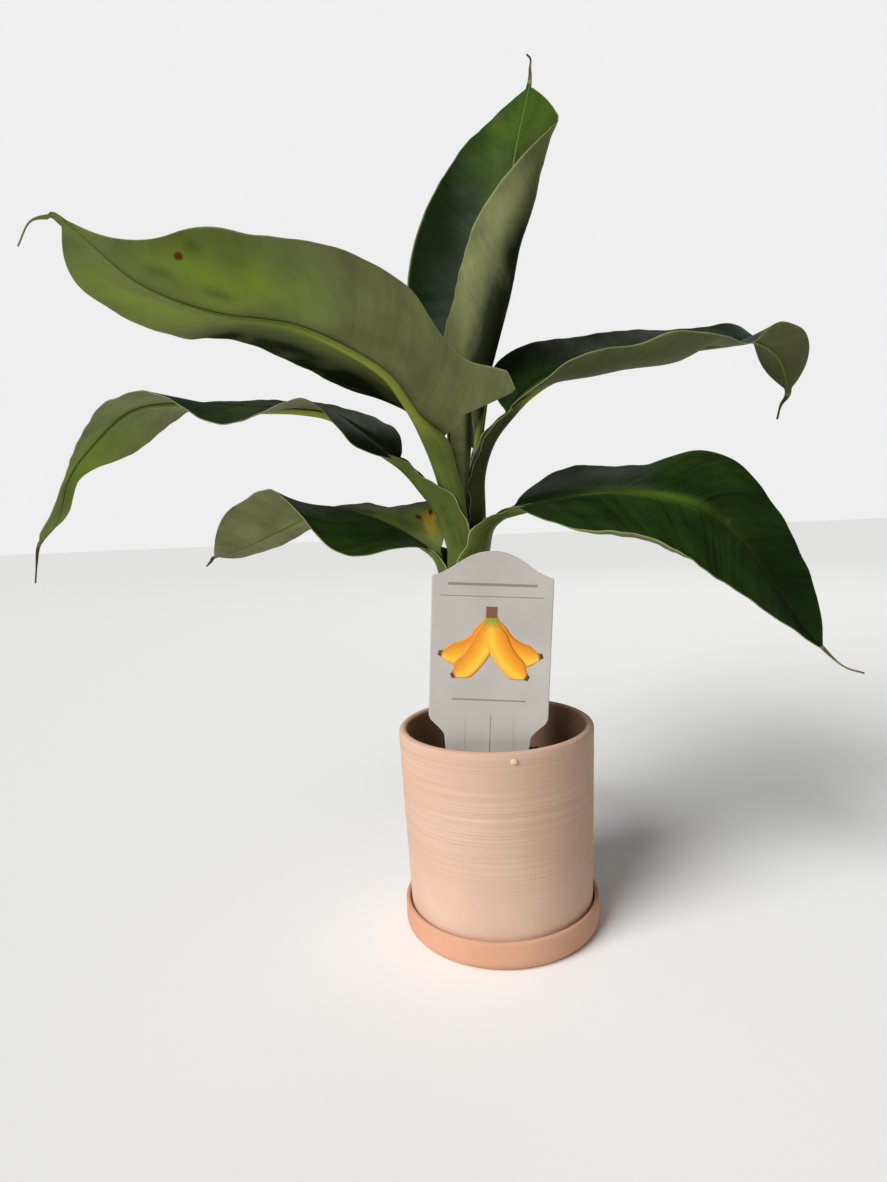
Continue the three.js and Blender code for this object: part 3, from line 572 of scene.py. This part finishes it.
def arc(x, z, radius, start, stop, count):
    angles = np.radians(np.linspace(start, stop, count + 1))
    return [(x + radius * math.cos(a), z + radius * math.sin(a)) for a in angles]


def filled(profile, step=2.0):
    """The profile with its long straight stretches cut into short ones."""
    out = [profile[0]]
    for (x0, z0), (x1, z1) in zip(profile, profile[1:]):
        count = max(1, round(math.hypot(x1 - x0, z1 - z0) / step))
        out += [(x0 + (x1 - x0) * k / count, z0 + (z1 - z0) * k / count) for k in range(1, count + 1)]
    return out


def turned(name, profile, wobble=0.0, sides=192):
    """A turned piece: the profile is spun about the upright axis, and may be a little out of round."""
    bm = bmesh.new()
    points = [bm.verts.new(Vector((x, 0, z)) * MM) for x, z in filled(profile)]
    edges = [bm.edges.new(pair) for pair in zip(points, points[1:])]
    bmesh.ops.spin(
        bm, geom=points + edges, cent=(0, 0, 0), axis=(0, 0, 1), angle=math.tau, steps=sides, use_merge=True
    )
    bmesh.ops.remove_doubles(bm, verts=bm.verts, dist=1e-6)
    for vert in bm.verts:
        radius = math.hypot(vert.co.x, vert.co.y)
        if radius > 0.02:
            push = wobble * MM * math.sin(2 * math.atan2(vert.co.y, vert.co.x) + 0.7) / radius
            vert.co += Vector((vert.co.x * push, vert.co.y * push, 0))
    bmesh.ops.recalc_face_normals(bm, faces=bm.faces)
    return finish_mesh(name, bm)


def pot_radius(z):
    return POT_FOOT_RADIUS + (POT_RIM_RADIUS - POT_FOOT_RADIUS) * (z - POT_FOOT_Z) / (POT_RIM_Z - POT_FOOT_Z)


def build_pot():
    lip = POT_WALL / 2
    floor = POT_FOOT_Z + 6
    profile = [(0, POT_FOOT_Z)]
    profile += arc(POT_FOOT_RADIUS - 3.5, POT_FOOT_Z + 3.5, 3.5, -90, 0, 6)
    profile += arc(POT_RIM_RADIUS - lip, POT_RIM_Z - lip, lip, 0, 180, 14)
    profile += arc(pot_radius(floor) - POT_WALL - 6, floor + 6, 6, 0, -90, 6)
    profile += [(0, floor)]
    pot = placed(turned("clay_pot", profile, 0.12), "terracotta_pot", "pot", materials=[CLAY])
    bead = bmesh.new()
    bmesh.ops.create_icosphere(bead, subdivisions=3, radius=1.9 * MM)
    bmesh.ops.scale(bead, vec=(1.15, 0.55, 1.0), verts=bead.verts)
    bmesh.ops.translate(bead, vec=Vector((9.8, -62.9, 129.4)) * MM, verts=bead.verts)
    placed(finish_mesh("clay_bead", bead), "terracotta_pot", materials=[BEAD_CLAY])
    return pot


def build_saucer():
    inner = SAUCER_RADIUS - SAUCER_WALL
    lip = SAUCER_WALL / 2
    profile = [(0, 0), (58.5, 0)]
    profile += arc(SAUCER_RADIUS - 6, 6, 6, -85, 0, 8)
    profile += arc(SAUCER_RADIUS - lip, SAUCER_HEIGHT - lip, lip, 0, 180, 10)
    profile += [(inner, SAUCER_FLOOR + 1.5), (inner - 1.5, SAUCER_FLOOR), (0, SAUCER_FLOOR)]
    return placed(turned("clay_saucer", profile), "terracotta_saucer", "saucer", materials=[SAUCER_CLAY])


def build_mix():
    """Rough top of the potting mix, with loose crumbs of bark on it."""
    edge = pot_radius(99) - POT_WALL - 0.4
    rings, sides = 44, 160
    bumps = RNG.uniform(0, 2 * math.pi, (14, 3))
    waves = RNG.uniform(0.06, 0.5, (14, 2)) * RNG.choice([-1, 1], (14, 2))

    def top(x, y):
        lumps = sum(math.sin(w[0] * x + w[1] * y + b[0]) for b, w in zip(bumps, waves))
        return MIX_TOP_Z - 0.6 - 2.0 * (math.hypot(x, y) / edge) ** 3 + 0.22 * lumps

    def place(row, column):
        angle = 2 * math.pi * (column % sides) / sides
        if row <= rings:
            r = edge * row / rings
            x, y = r * math.cos(angle), r * math.sin(angle)
            return (x, y, top(x, y)), {}
        return (edge * math.cos(angle), edge * math.sin(angle), 94.0), {}

    mix = surface("mix_top", rings + 1, sides, place, wrap=True)
    placed(mix, "potting_mix", "potting_mix", materials=[MIX])
    bm = bmesh.new()
    for _ in range(900):
        r = edge * math.sqrt(RNG.uniform(0.0, 0.96))
        angle = RNG.uniform(0, 2 * math.pi)
        x, y = r * math.cos(angle), r * math.sin(angle)
        size = RNG.uniform(0.6, 2.0) * (1.6 if RNG.uniform() < 0.06 else 1.0)
        made = bmesh.ops.create_icosphere(bm, subdivisions=1, radius=size * MM)["verts"]
        bmesh.ops.scale(bm, vec=Vector(RNG.uniform(0.6, 1.5, 3)), verts=made)
        turn = Matrix.Rotation(RNG.uniform(0, 6.3), 3, Vector(RNG.normal(size=3)).normalized())
        bmesh.ops.rotate(bm, cent=(0, 0, 0), matrix=turn, verts=made)
        bmesh.ops.translate(bm, vec=Vector((x, y, top(x, y) + 0.25 * size)) * MM, verts=made)
    crumbs = finish_mesh("mix_crumbs", bm)
    for polygon in crumbs.data.polygons:
        polygon.use_smooth = False
    placed(crumbs, "potting_mix", materials=[MIX])


# Stem, stalks and blades


def build_stem():
    """Pseudostem: overlapping sheaths, so each one's margin shows as a long slanting step."""
    line = Curve(STEM_LINE)
    rows, sides = 90, 144
    margins = [(0.4, 1.5, 0.9), (2.0, -1.2, 0.8), (3.6, 1.1, 0.8), (5.1, -1.6, 0.9)]

    def place(row, column):
        t = row / rows
        angle = 2 * math.pi * (column % sides) / sides
        centre = line.at(line.end * t)
        radius = 17 + (15 - 17) * t + 2.2 * max(1 - 6 * t, 0) ** 2 - 3.5 * ease((t - 0.88) / 0.12)
        step, edge = 0.0, 0.0
        for start, slant, depth in margins:
            turn = (angle - start - slant * t) % (2 * math.pi)
            step += depth * (1 - turn / (2 * math.pi)) - depth / 2
            edge = max(edge, math.exp(-((turn / 0.05) ** 2)))
        radius += step * 0.8
        point = centre + radius * np.array([math.cos(angle), math.sin(angle), 0])
        dry = 0.55 * max(0, 1 - 5 * t) + 0.15 * edge
        # shade is a little painted shade over the whole stem
        facts = {"along": t * 1.3, "across": angle * 0.25, "edge": 0.75 * edge, "inner": 0.0, "dry": dry,
                 "pale": 0.3, "rib": 0.0, "shade": 0.2}
        return point, facts

    stem = surface("stem_sheaths", rows, sides, place, wrap=True, ends=True)
    placed(stem, "leaf_stalk", "pseudostem", materials=[STALK])


def build_stalk(name, leaf, rib):
    """Sheath, stalk and rib in one: the sheath wraps the stem, opens into a channelled
    stalk, and runs on under the blade as its rib."""
    narrow, depth, nest = leaf["stalk"], leaf["depth"], leaf["nest"]
    below, sheath_rows, rib_rows, half = 16, 110, 82, 24
    lengths = np.concatenate([
        np.linspace(-below, rib.start, sheath_rows),
        np.linspace(rib.start, rib.tip, rib_rows)[1:],
    ])
    whole = rib.tip - rib.start
    count = 2 * half + 2
    stem_z = [point[2] for point in STEM_LINE]
    loose_from, loose_over = leaf.get("loose", (4, min(28, rib.start * 0.8)))

    def place(row, column):
        length = lengths[row]
        k = column % count
        outer = k <= half
        s = math.sin(math.pi / 2 * (2 * k / half - 1 if outer else 1 - 2 * (k - half - 1) / half))
        t = min(max(length / rib.start, 0), 1)
        u = max((length - rib.start) / whole, 0.0)
        join = ease((length - rib.start + 6) / 26)
        taper = max(1 - u, 0.0) ** 0.9
        centre, left, upper = rib.frame(max(length, 0))
        centre = centre + np.array([0, 0, min(length, 0)])
        widths, angles = leaf["wrap"]["left" if s > 0 else "right"]
        wide = smooth(widths, t) * (1 - join) + (narrow * 0.29 * taper + 0.35) * join
        low = depth / 2 * (1 - join) + (narrow * 0.53 * taper + 0.3) * join
        rise = smooth(leaf["rise"], t) * (1 - join) + (low - 0.45 - 1.8 * (1 - u)) * join
        margin = max(abs(s) - 0.75, 0) / 0.25
        wave = math.sin(length / 5.3 + leaf["heading"]) + 0.6 * math.sin(length / 2.3 + 2 * s)
        turn = abs(s) * math.radians(smooth(angles, t)) * (1 - join) + abs(s) * math.pi / 2 * join
        turn += leaf["wing"] * margin * wave * (1 - join) / max(wide, 6)
        turn = math.copysign(turn, s)
        back = 1.7 + (0.42 * depth - 1.7) * ease(length / 60)
        wall = 0 if outer else 0.45 + (back - 0.45) * (1 - abs(s) ** 2.5)
        away = (wide - wall * 0.85) * math.sin(turn)
        high = rise - low - (rise - wall) * math.cos(turn)
        if not outer:
            away += (wide * math.sin(turn) - away) * join
            high += (-0.45 - 1.8 * (1 - u) - high) * join
        droop = math.sin(math.radians(smooth(leaf["left" if s > 0 else "right"]["lift"], u)))
        high += min(droop, 0) * abs(away) * join
        point = centre + left * away + upper * high
        nested = 1 - ease((length - loose_from) / loose_over)
        if nested > 0:
            across = [np.interp(centre[2], stem_z, [p[k] for p in STEM_LINE]) for k in (0, 1)]
            axis = np.array([*across, centre[2]])
            radius = nest - wall - 3.0 * ease(-length / below)
            round_stem = axis + radius * (rib.out * math.cos(turn) + left * math.sin(turn))
            point = point + (round_stem - point) * nested
        # shade is painted shade on the stalk, and inner painted shade in its channel
        facts = {
            "along": length * 0.01,
            "across": 0.15 * s + (0 if outer else 0.5),
            "edge": min(max((abs(s) - 0.955) / 0.035, 0), 1) * (1 - join),
            "inner": (0 if outer else 1 - margin) * (1 - join),
            "dry": 0.9 * max(0.0, (u - 0.97) / 0.03),
            "pale": 0.5 + 0.5 * math.cos(3 * turn),
            "rib": 0.85 * join * (1 - 0.75 * ease((u - 0.25) / 0.35)),
            "shade": leaf["shade"] * (1 - join),
        }
        return point, facts

    stalk = surface(name + "_stalk_and_rib", len(lengths) - 1, count, place, wrap=True, ends=True)
    placed(stalk, "leaf_stalk", name + "_stalk", materials=[STALK])


def build_blade(name, leaf, rib):
    """The blade as one fine sheet, with its rib groove, side-vein relief and waved margins."""
    rows, tail_rows, half_columns, arcs = 210, 16, 36, 96
    lengths = np.concatenate([
        np.linspace(rib.start - 3, rib.tip, rows + 1),
        np.linspace(rib.tip, rib.end, tail_rows + 1)[1:],
    ])
    out = np.linspace(0, 1, half_columns + 1) ** 1.25
    ripple, wavelength, phase = leaf["ripple"]
    names = ("along", "across", "rib", "edge", "dry", "rust", "burn", "olive", "dark", "pale")
    grid = np.zeros((len(lengths), 2 * half_columns + 1, 3))
    facts = np.zeros((len(lengths), 2 * half_columns + 1, len(names)))
    for i, length in enumerate(lengths):
        u = (length - rib.start) / (rib.tip - rib.start)
        centre, left, upper = rib.frame(length)
        inside = min(max(u, 0), 1)
        groove_width = 2.4 * (1 - inside) + 0.7
        groove_depth = 1.8 * (1 - inside) + 0.2
        for side, sign in (("left", 1), ("right", -1)):
            values = leaf[side]
            lift, curl = smooth(values["lift"], u), smooth(values["curl"], u)
            start, stop = smooth(values["bend"][0], u), smooth(values["bend"][1], u)
            wide = reach(leaf, side, u) * (0.3 + 0.7 * ease((length - rib.start + 3) / 7))
            middle = (np.arange(arcs) + 0.5) / arcs
            turn = np.radians(lift + curl * np.clip((middle - start) / (stop - start), 0, 1))
            steps = np.column_stack([np.cos(turn), np.sin(turn)]) * wide / arcs
            path = np.vstack([[0, 0], np.cumsum(steps, axis=0)])
            knots = np.linspace(0, 1, arcs + 1)
            away = np.interp(out, knots, path[:, 0])
            rise = np.interp(out, knots, path[:, 1])
            slope = np.radians(lift + curl * np.clip((out - start) / (stop - start), 0, 1))
            distance = out * wide
            vein = length - VEIN_SLANT * distance - VEIN_SWEEP * distance**2
            swell = min(wide / 25, 1)
            inner = np.minimum(distance / 8, 1)
            shift = -groove_depth * np.exp(-((distance / groove_width) ** 2))
            # side veins, in bundles of uneven strength
            strength = 0.55 + 0.45 * np.sin(vein / 23 + phase) * np.sin(distance / 17 + sign)
            pleats = np.sin(2 * math.pi * vein / VEIN_STEP + 2.5 * np.sin(vein / 13))
            shift += swell * inner * VEIN_HEIGHT * strength * pleats
            # slow puckers of the blade
            puckers = np.sin(vein / 11 + 2 * phase) * np.sin(distance / 9 + vein / 31 + sign)
            shift += swell * inner * PUCKER_HEIGHT * puckers
            turns = 2 * math.pi * length / wavelength
            wave = np.sin(turns + phase + 1.4 * sign + 1.2 * math.sin(length / 21))
            wave += 0.5 * np.sin(turns / 0.43 + 2.2 * phase * sign)
            shift += swell * ripple * wave * out**2.2
            tangent = -sign * np.sin(slope)
            point = centre + np.outer(sign * away + tangent * shift, left)
            point += np.outer(rise + np.cos(slope) * shift, upper)
            spots = dict.fromkeys(("rust", "burn", "olive", "dark", "pale"), np.zeros_like(out))
            # gloom is painted shade over the whole blade; the dark marks add painted shade and the pale marks
            # painted light
            spots["dark"] = np.full_like(out, leaf.get("painted_blade_shade", 0))
            for kind, along, across, far_along, far_across, strong in leaf["marks"]:
                if (across > 0) == (sign > 0):
                    far = ((vein - rib.start - along * (rib.tip - rib.start)) / far_along) ** 2
                    far = far + ((distance - abs(across) * wide) / far_across) ** 2
                    spots[kind] = np.maximum(spots[kind], strong * np.exp(-far))
            dry_from, dry_to = leaf["dry"]
            dry = np.full_like(out, min(max((u - dry_from) / (dry_to - dry_from), 0), 1))
            edge = np.clip((distance - (wide - 0.8)) / 0.6, 0, 1) * (1 if 0.02 < u < 0.985 else 0)
            rows_of = {
                "along": vein * 0.01,
                "across": 0.5 + sign * distance * 0.01,
                "rib": leaf.get("midrib", 0.5) * np.exp(-((distance / (groove_width * 0.8)) ** 2)),
                "edge": edge,
                "dry": dry,
                **spots,
            }
            columns = half_columns + sign * np.arange(half_columns + 1)
            grid[i, columns] = point
            facts[i, columns] = np.column_stack([rows_of[key] for key in names])

    def place(row, column):
        return grid[row, column], dict(zip(names, facts[row, column]))

    blade = surface(name + "_blade_sheet", len(lengths) - 1, 2 * half_columns, place)
    thicken(blade, LEAF_THICKNESS, under=1, rim=2)
    nodes = [name + "_blade"] + ([name + "_blade_end"] if leaf.get("in_two") else [])
    placed(blade, "leaf_blade", *nodes, materials=[LEAF_UPPER, LEAF_UNDER, LEAF_EDGE])


def build_young_leaf():
    """Young leaf, still rolled round itself, with one margin showing down its side, and painted shade down
    the side of the roll turned from the light.
    """
    line = Curve(YOUNG_LINE)
    rows, columns = 90, 60

    def place(row, column):
        t = row / rows
        v = column / columns
        angle = math.radians(-300 + 500 * v)
        radius = smooth(YOUNG_RADII, t) * (1.0 - 0.3 * (1 - v))
        centre = line.at(line.end * t)
        point = centre + radius * np.array([math.cos(angle), 0.6 * math.sin(angle), 0])
        # dark is painted shade, set by the angle round the roll
        facts = {"along": t * 1.3, "across": 0.5 + v, "rib": 0.0, "edge": max(0.0, 1 - 20 * (1 - v)),
                 "dry": max(0.0, (t - 0.97) * 20), "rust": 0.0, "burn": 0.0,
                 "olive": 0.0, "dark": 0.95 * ease((math.cos(angle - 0.2) + 0.05) / 0.6), "pale": 0.0}
        return point, facts

    young = surface("young_leaf_roll", rows, columns, place)
    thicken(young, LEAF_THICKNESS)
    placed(young, "leaf_blade", "young_rolled_leaf", materials=[LEAF_UNDER])


# Tag


def tag_place(x, z, out=0.0):
    """A point of the tag from its own frame: x across, z up it, out towards the front."""
    lean = math.radians(TAG_LEAN_DEG)
    across = x * math.cos(lean) + z * math.sin(lean)
    up = z * math.cos(lean) - x * math.sin(lean)
    return TAG_CENTRE + Vector((across, -out, up))


def tag_half_width(z):
    """Half the tag's width at a height: a pointed leg, a tapering shank and straight sides."""
    return float(np.interp(z, [TAG_FOOT, -62, 9, 18], [9, 18, 26, TAG_HALF_WIDTH]))


def tag_top(x):
    """Height of the bell-shaped top at a distance from the middle."""
    x = abs(x)
    s = np.linspace(0, 1, 60)
    bx = 3 * s * (1 - s) ** 2 * 16 + 3 * s**2 * (1 - s) * 22 + s**3 * 34.1
    bz = (1 - s) ** 3 * TAG_APEX + 3 * s * (1 - s) ** 2 * TAG_APEX + 3 * s**2 * (1 - s) * (TAG_SHOULDER + 3)
    bz = bz + s**3 * TAG_SHOULDER
    height = float(np.interp(x, bx, bz))
    corner = x - (TAG_HALF_WIDTH - TAG_CORNER)
    return height - (TAG_CORNER - math.sqrt(max(TAG_CORNER**2 - corner**2, 0)) if corner > 0 else 0.0)


def build_tag():
    rows_low, rows_top, columns, split = 60, 24, 96, 98

    def place(row, column):
        v = 2 * column / columns - 1
        if row <= rows_low:
            z = TAG_FOOT + (split - TAG_FOOT) * row / rows_low
            x = v * tag_half_width(z)
        else:
            x = v * TAG_HALF_WIDTH
            z = split + (tag_top(x) - split) * (row - rows_low) / rows_top
        return tag_place(x, z), {}

    tag = surface("tag_sheet", rows_low + rows_top, columns, place)
    thicken(tag, 1.0)
    placed(tag, "white_tag", "plant_tag", materials=[TAG])
    for x, width in ((0.5, 1.4), (-14.0, 0.4), (15.0, 0.4)):
        bar("tag_rib", x, -40, x, 21, width, 0.85 if width > 1 else 0.62, TAG)
    build_print()


def bar(name, x0, z0, x1, z1, width, out, material):
    """A thin straight raised or printed line on the tag."""
    bm = bmesh.new()
    bmesh.ops.create_cube(bm, size=1.0)
    length = math.hypot(x1 - x0, z1 - z0)
    turn = math.atan2(z1 - z0, x1 - x0)
    for vert in bm.verts:
        along, across = vert.co.x * length, vert.co.z * width
        x = (x0 + x1) / 2 + along * math.cos(turn) - across * math.sin(turn)
        z = (z0 + z1) / 2 + along * math.sin(turn) + across * math.cos(turn)
        vert.co = tag_place(x, z, out if vert.co.y < 0 else 0.3) * MM
    obj = finish_mesh(name, bm)
    for polygon in obj.data.polygons:
        polygon.use_smooth = False
    return placed(obj, "white_tag", materials=[material])


def crescent(name, centre, radius, start, stop, width, out, material):
    """A printed crescent along an arc, from its stalk end to its tip."""

    def place(row, column):
        u, v = row / 48, column / 10
        angle = math.radians(start + (stop - start) * u)
        swell = 0.3 + 0.7 * ease(u / 0.3) if u < 0.5 else 0.22 + 0.78 * ease((1 - u) / 0.22)
        r = radius + (v - 0.5) * width * swell
        point = tag_place(centre[0] + r * math.cos(angle), centre[1] + r * math.sin(angle), out)
        return point, {"along": u, "across": v}

    obj = surface(name, 48, 10, place)
    thicken(obj, 0.04)
    return placed(obj, "white_tag", materials=[material])


def build_print():
    """Plain printed picture: a mirrored fan of four yellow fruits under a short stalk, with plain rules."""
    for k, (side, centre, radius, first, sweep) in enumerate((
        (-1, (25, 81), 24.0, 176, 108),
        (1, (25, 81), 24.0, 176, 108),
        (-1, (43, 80), 41.5, 181, 60),
        (1, (43, 80), 41.5, 181, 60),
    )):
        start = first if side > 0 else 180 - first
        stop = start + side * sweep
        middle = (side * centre[0], centre[1])
        crescent("printed_fruit", middle, radius, start, stop, 13.5, 0.55 + 0.05 * k, FRUIT)
    bar("printed_stalk", 0, 79.5, 0, 86.0, 6.4, 0.8, FRUIT_STALK)
    bar("printed_rule", -26, 99.0, 26, 99.0, 1.5, 0.56, INK)
    bar("printed_rule", -30, 92.0, 30, 92.0, 0.5, 0.56, INK)
    bar("printed_rule", -22, 30.0, 22, 30.0, 0.9, 0.56, INK)


# Finishes of the pieces
CLAY = clay("unglazed terracotta", "#caa790", "#d6b59f", "#a98068", 1.0, damp="#b08770")
BEAD_CLAY = clay("unglazed terracotta bead", "#d3b290", "#dfc1a1", "#bd9b79", 0.0)
SAUCER_CLAY = clay("unglazed saucer terracotta", "#c99577", "#d3a386", "#a87860", 0.25)
MIX = potting_mix()
LEAF_UPPER = leaf(
    "waxy upper side of leaf", dark="#14220a", light="#223712", deep="#0a1404", painted_glow_and_veins="#465a1a", rib="#5a6c2e",
    gloss=0.34, veins_show=0.12, bands_show=0.4, shine=0.05,
)
LEAF_UNDER = leaf(
    "matt underside of leaf", dark="#656846", light="#777b51", deep="#1c220b", painted_glow_and_veins="#7a961c", rib="#87923c",
    gloss=0.55, veins_show=0.16, bands_show=0.14, shine=0.1,
)
LEAF_EDGE = plain("cut edge of leaf", "#7f8455")
STALK = leaf_stalk()
TAG = sheet_plastic()
FRUIT = printed_fruit()
FRUIT_STALK = plain("printed fruit stalk", "#7a5238")
INK = plain("printed grey ink", "#8b8078")

build_saucer()
build_pot()
build_mix()
build_stem()
for leaf_name, leaf_values in LEAVES.items():
    leaf_rib = Rib(leaf_values)
    build_stalk(leaf_name, leaf_values, leaf_rib)
    build_blade(leaf_name, leaf_values, leaf_rib)
build_young_leaf()
build_tag()


# Stage, light and camera


def build_floor():
    bm = bmesh.new()
    bmesh.ops.create_grid(bm, x_segments=1, y_segments=1, size=6.0)
    floor = finish_mesh("floor", bm)
    floor.data.materials.append(plain("plain pale floor", "#fafaf9", 0.8, 0.2))


def build_lights():
    """A broad soft key from the upper left front, a weak rim from behind, and a pale room."""
    key = bpy.data.lights.new("key", "SUN")
    key.energy = 3.6
    key.angle = math.radians(38)
    rim = bpy.data.lights.new("rim", "AREA")
    rim.shape = "DISK"
    rim.size = 1.6
    rim.energy = 3
    for light, place, aim in (
        (key, (-0.6, -0.58, 0.6), (0, 0, 0)),
        (rim, (0.6, 1.8, 1.4), (0, 0, 0.35)),
    ):
        lamp = bpy.data.objects.new(light.name, light)
        lamp.location = place
        lamp.rotation_mode = "QUATERNION"
        lamp.rotation_quaternion = (Vector(aim) - Vector(place)).to_track_quat("-Z", "Y")
        bpy.context.scene.collection.objects.link(lamp)
    world = bpy.data.worlds.new("studio")
    world.use_nodes = True
    seen = node(world.node_tree, "ShaderNodeLightPath", out="Is Camera Ray")
    level = node(world.node_tree, "ShaderNodeMapRange", (seen, 0.0, 1.0, 0.16, 0.86))
    node(world.node_tree, "Background", {"Color": (1, 1, 1, 1), "Strength": level})
    bpy.context.scene.world = world
    bpy.context.scene.view_settings.view_transform = "Standard"


def build_camera():
    tilt, yaw, roll = math.radians(6.65), math.radians(-3.67), math.radians(-2.58)
    focal_pixels, photo_height = 739, 1182
    camera_y, camera_z = -0.474, 0.2776
    ahead = Vector((math.sin(yaw) * math.cos(tilt), math.cos(yaw) * math.cos(tilt), -math.sin(tilt)))
    level = Vector((math.cos(yaw), -math.sin(yaw), 0))
    above = level.cross(ahead)
    right = math.cos(roll) * level + math.sin(roll) * above
    up = -math.sin(roll) * level + math.cos(roll) * above
    data = bpy.data.cameras.new("camera")
    data.sensor_fit = "AUTO"
    data.sensor_width = 36
    data.lens = data.sensor_width * focal_pixels / photo_height
    data.clip_start = 0.01
    camera = bpy.data.objects.new("camera", data)
    camera.matrix_world = Matrix((
        (right.x, up.x, -ahead.x, 0),
        (right.y, up.y, -ahead.y, camera_y),
        (right.z, up.z, -ahead.z, camera_z),
        (0, 0, 0, 1),
    ))
    bpy.context.scene.collection.objects.link(camera)
    bpy.context.scene.camera = camera


build_floor()
build_lights()
build_camera()
